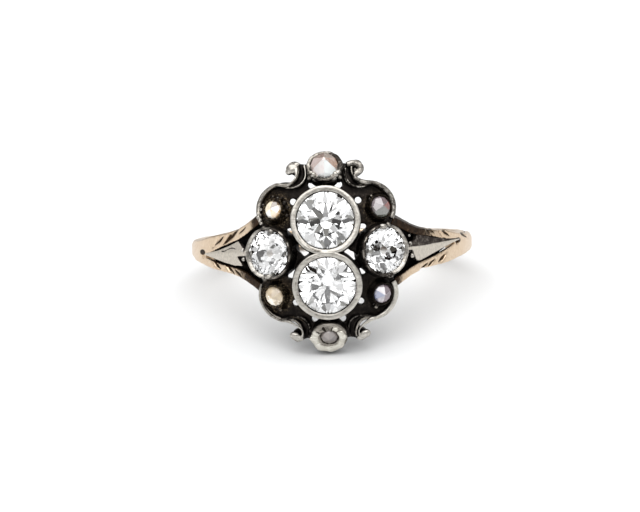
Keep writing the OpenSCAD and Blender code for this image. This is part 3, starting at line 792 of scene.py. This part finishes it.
# Each scroll's outer rim beyond its lobe and its inner line, as rows of across, along, radius and
# lift, then its knobs as across, along, lift and radii. Lobe radii are the rim's at the side collet
# and at the scroll.
SCROLLS = {
    "upper_left_scroll": {
        "side": (-1, 1), "lobe": (0.22, 0.17),
        "outer": [(-2.54, 4.44, 0.13, 0.28), (-2.18, 4.6, 0.09, 0.34), (-1.94, 4.84, 0.08, 0.36),
                  (-1.84, 5.08, 0.08, 0.38), (-1.84, 5.3, 0.14, 0.36), (-1.9, 5.5, 0.24, 0.3)],
        "inner": [(-2.6, 4.3, 0.05, 0.2), (-2.1, 4.32, 0.06, 0.26), (-1.63, 4.5, 0.06, 0.28),
                  (-1.31, 4.9, 0.06, 0.28), (-1.25, 5.35, 0.06, 0.28), (-1.34, 5.75, 0.09, 0.26)],
        "knobs": [(-2.14, 5.56, 0.24, (0.46, 0.4, 0.3)), (-2.34, 5.4, 0.2, (0.28, 0.26, 0.24)),
                  (-1.86, 5.84, 0.2, (0.26, 0.18, 0.2))],
    },
    "upper_right_scroll": {
        "side": (1, 1), "lobe": (0.27, 0.2),
        "outer": [(2.78, 4.5, 0.18, 0.26), (2.34, 4.62, 0.17, 0.28), (2.02, 4.8, 0.16, 0.3),
                  (1.96, 5.02, 0.18, 0.3), (2.14, 5.16, 0.22, 0.3), (2.3, 5.34, 0.25, 0.3),
                  (2.3, 5.56, 0.26, 0.28), (2.1, 5.74, 0.26, 0.26), (1.8, 5.82, 0.24, 0.22),
                  (1.46, 5.76, 0.2, 0.16)],
        "inner": [(2.83, 4.36, 0.05, 0.2), (2.42, 4.26, 0.06, 0.26), (1.84, 4.34, 0.07, 0.28),
                  (1.5, 4.68, 0.07, 0.28), (1.38, 5.08, 0.06, 0.28), (1.36, 5.52, 0.08, 0.26)],
        "knobs": [(1.98, 5.3, 0.34, (0.14, 0.2, 0.14))],
    },
    "lower_left_scroll": {
        "side": (-1, -1), "lobe": (0.14, 0.12),
        "outer": [(-2.68, -4.58, 0.1, 0.3), (-2.28, -4.76, 0.08, 0.32), (-2.0, -4.94, 0.06, 0.34),
                  (-1.74, -5.2, 0.05, 0.32), (-1.74, -5.5, 0.06, 0.3), (-1.9, -5.72, 0.14, 0.28),
                  (-2.14, -5.72, 0.2, 0.26), (-2.34, -5.56, 0.18, 0.26),
                  (-2.36, -5.36, 0.12, 0.26)],
        "inner": [(-2.6, -4.3, 0.05, 0.2), (-2.05, -4.4, 0.05, 0.2), (-1.55, -4.75, 0.05, 0.2),
                  (-1.4, -5.15, 0.04, 0.2), (-1.45, -5.5, 0.05, 0.2)],
        "knobs": [(-2.28, -5.6, 0.24, (0.38, 0.3, 0.26)), (-2.0, -5.8, 0.2, (0.34, 0.2, 0.2))],
    },
    "lower_right_scroll": {
        "side": (1, -1), "lobe": (0.27, 0.2),
        "outer": [(2.78, -4.56, 0.17, 0.3), (2.42, -4.78, 0.1, 0.32), (2.12, -5.0, 0.07, 0.34),
                  (1.94, -5.26, 0.05, 0.32), (1.94, -5.54, 0.07, 0.3), (2.04, -5.72, 0.14, 0.28),
                  (2.26, -5.7, 0.2, 0.26), (2.44, -5.5, 0.18, 0.26), (2.4, -5.32, 0.12, 0.26)],
        "inner": [(2.6, -4.3, 0.05, 0.2), (2.05, -4.45, 0.05, 0.2), (1.72, -4.8, 0.05, 0.2),
                  (1.6, -5.2, 0.04, 0.2), (1.66, -5.55, 0.05, 0.2)],
        "knobs": [(2.36, -5.56, 0.24, (0.38, 0.3, 0.26)), (2.08, -5.82, 0.2, (0.36, 0.2, 0.2))],
    },
}


RIM_START = -22
RIM_STOP = 74
RIM_ROWS = 9
RIM_LIFT = 0.24


def lobe_rim(side, end, thick, thin):
    """Rows of the rim round a lobe, from the side collet to the scroll."""
    rows = []
    for i in range(RIM_ROWS):
        k = i / (RIM_ROWS - 1)
        angle = math.radians(RIM_START + k * (RIM_STOP - RIM_START))
        radius = thick + (thin - thick) * k
        reach = LOBE_R - 0.75 * radius
        u = LOBE_U + reach * math.cos(angle)
        v = LOBE_V + reach * math.sin(angle)
        swell = 0.75 + 0.25 * math.sin(math.pi * k)
        rows.append((side * u, end * v, radius * swell, RIM_LIFT))
    return rows


def add_scroll(name, shape):
    """A scroll: a rim from the side collet round the lobe to the curl, an inner line and knobs."""
    side, end = shape["side"]
    rim = lobe_rim(side, end, *shape["lobe"]) + shape["outer"]
    mesh = wire_mesh([dome_wire(rim), dome_wire(shape["inner"])])
    work = bmesh.new()
    work.from_mesh(mesh)
    bpy.data.meshes.remove(mesh)
    for u, v, lift, radii in shape["knobs"]:
        add_bead(work, on_dome(u, v, lift), radii)
    soft = soften(from_work(work, name), voxel=0.036, rounds=2, sway=0.015)
    places, _ = vertex_arrays(soft)
    height = dome_rise(places)
    crest = step_up(height, 0.18, 0.46)
    from_lobe = np.hypot(np.abs(places[:, 0]) - LOBE_U, np.abs(places[:, 2]) - LOBE_V)
    inner_edge = 1 - step_up(from_lobe, LOBE_R - 0.4, LOBE_R - 0.28)
    if end < 0:
        wear = 0.1 + 0.72 * crest + 0.3 * step_up(-places[:, 2], 4.9, 5.4) * crest
    elif side < 0:
        wear = 0.42 + 0.6 * crest + 0.2 * np.sin(45 * from_lobe)
    else:
        wear = 0.12 + 0.36 * crest + 0.7 * inner_edge * crest
    store(soft, "wear", wear)
    grime = 0.5 * near(places, -LOBE_U, end * LOBE_V, 2.1, 2.3) * (places[:, 0] < 0)
    store(soft, "stain", grime)
    add_piece(soft, name, WIRE_SILVER if end > 0 else RIM_SILVER, "setting")


for scroll_name, scroll in SCROLLS.items():
    add_scroll(scroll_name, scroll)


# Beads and grains

# Beads that hold the stones. Each row: across, along, radius across, radius along, how bright
BEADS = [
    (3.56, 1.56, 0.34, 0.2, 0.62), (3.98, -1.6, 0.2, 0.2, 0.3), (-3.45, 1.47, 0.24, 0.17, 0.5),
    (-3.72, -1.5, 0.3, 0.2, 0.6), (2.9, 3.42, 0.13, 0.13, 0.4), (-2.95, 3.42, 0.12, 0.12, 0.3),
    (-3.1, -3.55, 0.18, 0.14, 0.45), (3.05, -3.6, 0.2, 0.15, 0.5), (5.3, -0.45, 0.16, 0.16, 0.9),
    (5.2, 0.35, 0.13, 0.13, 0.6), (-5.3, 0.2, 0.15, 0.15, 0.7), (-5.25, -0.4, 0.14, 0.14, 0.7),
    (5.15, 0.85, 0.1, 0.1, 0.5), (-2.32, -0.04, 0.15, 0.26, 0.4),
]
# Rough grains round the upper left corner stone. Each row: across, along, radius, how bright
GRAINS = [
    (-4.42, 2.6, 0.12, 0.9), (-4.4, 2.36, 0.14, 0.95), (-4.3, 2.12, 0.12, 0.9),
    (-4.2, 2.86, 0.13, 0.5), (-4.05, 3.14, 0.12, 0.35), (-4.45, 2.85, 0.09, 0.8),
    (-4.2, 1.95, 0.14, 0.9), (-3.75, 3.4, 0.1, 0.3), (-2.62, 3.3, 0.17, 0.32),
    (-2.45, 3.02, 0.13, 0.2), (-2.85, 3.62, 0.12, 0.3), (-3.1, 3.62, 0.1, 0.35),
    (-2.68, 2.8, 0.1, 0.3), (-2.5, 2.5, 0.12, 0.15), (-3.4, 3.72, 0.09, 0.25),
]
# Beads at the side stones' height stand on the collets, the others on the plate
COLLET_REACH = 1.9
COLLET_LIFT = 0.64
PLATE_LIFT = 0.34


def add_beads():
    """The beads round the side and corner stones and the rough grains beside one of them."""
    work = bmesh.new()
    shines = []
    grains = [(u, v, radius, radius, shine) for u, v, radius, shine in GRAINS]
    for u, v, wide, high, shine in BEADS + grains:
        before = len(work.verts)
        lift = COLLET_LIFT if abs(v) < COLLET_REACH else PLATE_LIFT
        add_bead(work, on_dome(u, v, lift), (wide, high, min(wide, high)), 2)
        shines += [shine] * (len(work.verts) - before)
    mesh = from_work(work, "beads")
    store(mesh, "wear", np.array(shines))
    add_piece(mesh, "beads", WIRE_SILVER, "setting")


add_beads()


# Leaves between the branches

# Outlines seen from the front. Each row: distance from the middle, height from the leaf's own line
LEAF_OUTLINES = {
    "left_leaf": [
        (8.55, 0.03), (7.6, 0.2), (6.9, 0.45), (6.22, 0.78), (6.08, 0.58), (5.86, 0.34), (5.6, 0.2),
        (5.25, 0.14), (5.25, -0.16), (5.7, -0.2), (6.28, -0.26), (5.98, -0.9), (6.5, -0.9),
        (7.3, -0.62), (8.55, -0.08)],
    "right_leaf": [
        (8.85, 0.04), (8.0, 0.2), (7.2, 0.42), (6.3, 0.78), (6.12, 0.8), (6.0, 0.45), (5.55, 0.22),
        (5.25, 0.16), (5.25, -0.16), (5.75, -0.18), (6.1, -0.95), (6.35, -0.98), (7.3, -0.6),
        (8.2, -0.25), (8.85, -0.04)],
}
# A dark sheet that closes the fork behind a leaf: painted shade for the gap between the branches
SHADE_SHEET_OUTLINE = [
    (8.6, 0.3), (7.7, 0.85), (6.9, 1.05), (6.2, 1.45), (5.4, 2.0), (4.7, 2.45), (4.7, -2.45),
    (5.4, -2.0), (6.2, -1.5), (6.9, -1.25), (7.7, -0.95), (8.6, -0.4)]
# Height of each leaf's own line at its tip and at its foot
LEAF_LINES = {"left_leaf": (-0.3, -0.1), "right_leaf": (0.2, 0.0)}
LEAF_TIP_X = 8.6
LEAF_FOOT_X = 6.3
# How much darker the half above each leaf's ridge is
UPPER_SHADE = {"left_leaf": 0.15, "right_leaf": 0.62}


def leaf_line(name, x):
    """Height of a leaf's own line at a distance from the middle."""
    tip, foot = LEAF_LINES[name]
    k = min(max((LEAF_TIP_X - abs(x)) / (LEAF_TIP_X - LEAF_FOOT_X), 0), 1)
    return tip + k * (foot - tip)


def bend_to_shoulder(mesh, side, name, lift, slope):
    """Bends a flat shape, drawn as seen from the front, onto a shoulder's outer face.

    lift is its height over that face, and slope how much lower it lies away from its ridge.
    """
    places, _ = vertex_arrays(mesh)
    bent = []
    for x, z, t in places:
        depth, outward = shoulder_place(side * x)
        out = lift + t - slope * abs(z)
        bent.append((side * x + outward.x * out, depth + outward.y * out, z + leaf_line(name, x)))
    move_vertices(mesh, np.array(bent))
    # The left side is drawn mirrored, which turns its faces inward
    if side < 0:
        mesh.flip_normals()


def slab(outline, thickness, voxel):
    """A flat shape of the given outline, its top at 0, remade of small even faces."""
    work = bmesh.new()
    face = work.faces.new([work.verts.new((x, z, 0)) for x, z in outline])
    grown = bmesh.ops.extrude_face_region(work, geom=[face])
    raised = [v for v in grown["geom"] if isinstance(v, bmesh.types.BMVert)]
    bmesh.ops.translate(work, verts=raised, vec=(0, 0, -thickness))
    return soften(from_work(work, "slab"), voxel, rounds=1)


def add_leaf(name, side):
    """A dull silver leaf with a ridge, with a dark sheet of painted shade in the fork behind it."""
    mesh = slab(LEAF_OUTLINES[name], thickness=0.35, voxel=0.04)
    flat, _ = vertex_arrays(mesh)
    upper = step_up(flat[:, 1], -0.02, 0.05)
    top = step_up(flat[:, 2], -0.12, -0.03)
    wear = (0.95 - UPPER_SHADE[name] * upper) * top
    # A crack across the left leaf
    if side < 0:
        crack = np.abs(flat[:, 1] - 0.22 - 0.1 * np.sin(5 * flat[:, 0]))
        wear -= 0.7 * (1 - step_up(crack, 0.01, 0.05)) * (flat[:, 0] > 6.3) * (flat[:, 0] < 7.3)
    store(mesh, "wear", wear)
    bend_to_shoulder(mesh, side, name, lift=0.06, slope=0.16)
    add_piece(mesh, name, LEAF_SILVER, "setting")
    # The dark sheet behind the leaf is painted shade in the fork's opening
    shade_sheet = slab(SHADE_SHEET_OUTLINE, thickness=0.15, voxel=0.07)
    store(shade_sheet, "wear", np.zeros(len(shade_sheet.vertices)))
    bend_to_shoulder(shade_sheet, side, name, lift=-0.62, slope=0.0)
    add_piece(shade_sheet, name + "_shade_sheet", BLACK_SILVER, "setting")


add_leaf("left_leaf", -1)
add_leaf("right_leaf", 1)


# Stones

# Each corner or end stone: its place, how cloudy and how clear it is, how blotted its foil, and the
# tones of its facets by angle, partly the foil's tint and partly painted reflection
ROSES = {
    "top_rose": (on_dome(0, END_V, 0, END_LEAN), 0.02, 0.4, 0.16, [
        (0.0, "#bfa9a2"), (0.12, "#e0d4d1"), (0.25, "#ebeeee"), (0.4, "#edf2f2"), (0.5, "#a57d63"),
        (0.6, "#91745d"), (0.7, "#dcd4ce"), (0.85, "#b29b91"), (1.0, "#c8b3ad")]),
    "bottom_rose": (on_dome(0, -END_V, 0, -END_LEAN), 0.3, 0.0, 0.3, [
        (0.0, "#69615d"), (0.25, "#5f5652"), (0.5, "#5a5250"), (0.85, "#7a716c"),
        (1.0, "#6f6561")]),
    "upper_left_rose": (on_dome(*CORNERS[0][:2]), 0.05, 0.2, 0.2, [
        (0.0, "#f7ead0"), (0.12, "#ffffff"), (0.3, "#fff3dc"), (0.42, "#caa063"), (0.5, "#fff6e8"),
        (0.62, "#7a6852"), (0.72, "#5e5144"), (0.84, "#f4e4c6"), (1.0, "#f5e6c8")]),
    "upper_right_rose": (on_dome(*CORNERS[1][:2]), 0.08, 0.3, 0.24, [
        (0.0, "#756a6c"), (0.15, "#5c5b55"), (0.3, "#74786f"), (0.42, "#675c59"), (0.52, "#9a4f46"),
        (0.6, "#65484a"), (0.72, "#82767a"), (0.86, "#a3999d"), (1.0, "#776b70")]),
    "lower_left_rose": (on_dome(*CORNERS[2][:2]), 0.4, 0.0, 0.7, [
        (0.0, "#c9b89e"), (0.12, "#fffaf0"), (0.25, "#f8f1e2"), (0.4, "#b9a88c"), (0.55, "#97866c"),
        (0.7, "#a6947a"), (0.86, "#c0ad8f"), (1.0, "#d1c0a5")]),
    "lower_right_rose": (on_dome(*CORNERS[3][:2]), 0.05, 0.3, 0.2, [
        (0.0, "#8c92ae"), (0.1, "#757896"), (0.2, "#d9d0d2"), (0.32, "#7c6570"), (0.48, "#6b5560"),
        (0.6, "#5a4850"), (0.72, "#7c6a74"), (0.86, "#c2bcc0"), (1.0, "#949ab2")]),
}
for stone_name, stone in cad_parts.items():
    if stone_name in ROSES:
        stand, cloud, clear, blots, tones = ROSES[stone_name]
        stone_material = foiled_rose_painted_light(stone_name + "_diamond", stand, tones, cloud, clear, blots)
    elif stone_name.endswith("_diamond"):
        stone_material = DIAMOND
    else:
        continue
    stone.data.materials.clear()
    stone.data.materials.append(stone_material)


# Studio

def look_at(eye, target, roll):
    """The turn of a camera or light at eye that faces target."""
    aim = (Vector(target) - Vector(eye)).to_track_quat("-Z", "Y").to_matrix().to_4x4()
    return Matrix.Translation(eye) @ aim @ Matrix.Rotation(roll, 4, "Z")


def add_softbox(name, eye, target, size, power, mirrored=True):
    """A square, soft studio lamp. Metal and stones show it in themselves only if mirrored."""
    lamp = bpy.data.lights.new(name, "AREA")
    lamp.size = size
    lamp.energy = power
    box = bpy.data.objects.new(name, lamp)
    bpy.context.scene.collection.objects.link(box)
    box.matrix_world = look_at(eye, target, 0.0)
    box.visible_glossy = mirrored
    box.visible_transmission = mirrored


IMAGE_W = 640
SENSOR_WIDTH = 36
PIXELS_PER_MM = 14.75
CAMERA_SHIFT = (-6.5 / IMAGE_W, -3.6 / IMAGE_W)
CAMERA_DISTANCE = 0.7
CAMERA_AZIMUTH = math.radians(2)
CAMERA_ELEVATION = REST_TILT + math.radians(3.4)
CAMERA_ROLL = math.radians(-2.3)
HEAD_MIDDLE = UPRIGHT_TO_WORLD @ Vector((0, -PLATE_CREST, 0))

camera_data = bpy.data.cameras.new("camera")
camera = bpy.data.objects.new("camera", camera_data)
bpy.context.scene.collection.objects.link(camera)
bpy.context.scene.camera = camera
camera_data.sensor_width = SENSOR_WIDTH
camera_data.lens = SENSOR_WIDTH * CAMERA_DISTANCE / (IMAGE_W / PIXELS_PER_MM * MM)
camera_data.shift_x, camera_data.shift_y = CAMERA_SHIFT
camera_data.clip_start = 0.01
camera_data.clip_end = 20
direction = Vector((math.sin(CAMERA_AZIMUTH) * math.cos(CAMERA_ELEVATION),
                    -math.cos(CAMERA_AZIMUTH) * math.cos(CAMERA_ELEVATION),
                    math.sin(CAMERA_ELEVATION)))
camera.matrix_world = look_at(HEAD_MIDDLE + direction * CAMERA_DISTANCE, HEAD_MIDDLE, CAMERA_ROLL)

# Matt white paper, which the pale shadow falls on
floor_work = bmesh.new()
bmesh.ops.create_grid(floor_work, x_segments=1, y_segments=1, size=2.0)
floor_mesh = bpy.data.meshes.new("paper")
floor_work.to_mesh(floor_mesh)
floor_work.free()
paper, paper_tree = new_material("white_paper")
paper_surface = add(paper_tree, "BsdfPrincipled", Base_Color=linear("#d8d9da"), Roughness=0.9)
add(paper_tree, "OutputMaterial", Surface=paper_surface.outputs[0])
floor_mesh.materials.append(paper)
floor = bpy.data.objects.new("paper", floor_mesh)
bpy.context.scene.collection.objects.link(floor)

world = bpy.data.worlds.new("studio")
bpy.context.scene.world = world
world.use_nodes = True
sky = world.node_tree
sky.nodes.clear()
sight = add(sky, "TexCoord").outputs["Generated"]
# White paper walls with darker gaps between them, and the photographer's shade round the camera
walls = add(sky, "TexNoise", Vector=sight, Scale=4.5, Detail=1.0, Roughness=0.5).outputs["Fac"]
lit = ramp(sky, walls, [(0.415, "#2a2623"), (0.455, "#7f7d74"), (0.495, "#f6f6f6")])
facing = add(sky, "VectorMath", {"operation": "DOT_PRODUCT"}, i0=sight, i1=direction)
shade = ramp(sky, facing.outputs["Value"], [(0.955, "#ffffff"), (0.985, "#6e6e6e")])
room = add(sky, "Mix", {"data_type": "RGBA", "blend_type": "MULTIPLY"}, i0=1.0, i6=lit, i7=shade)
background = add(sky, "Background", Color=room.outputs[2], Strength=0.9)
add(sky, "OutputWorld", Surface=background.outputs[0])
add_softbox("overhead", (0.0, -0.15, 0.6), (0, 0, 0), size=1.05, power=7.4)
add_softbox("front_fill", (0.0, -0.5, 0.2), (0, 0, 0), size=0.8, power=2.2, mirrored=False)
bpy.context.scene.view_settings.view_transform = "Standard"
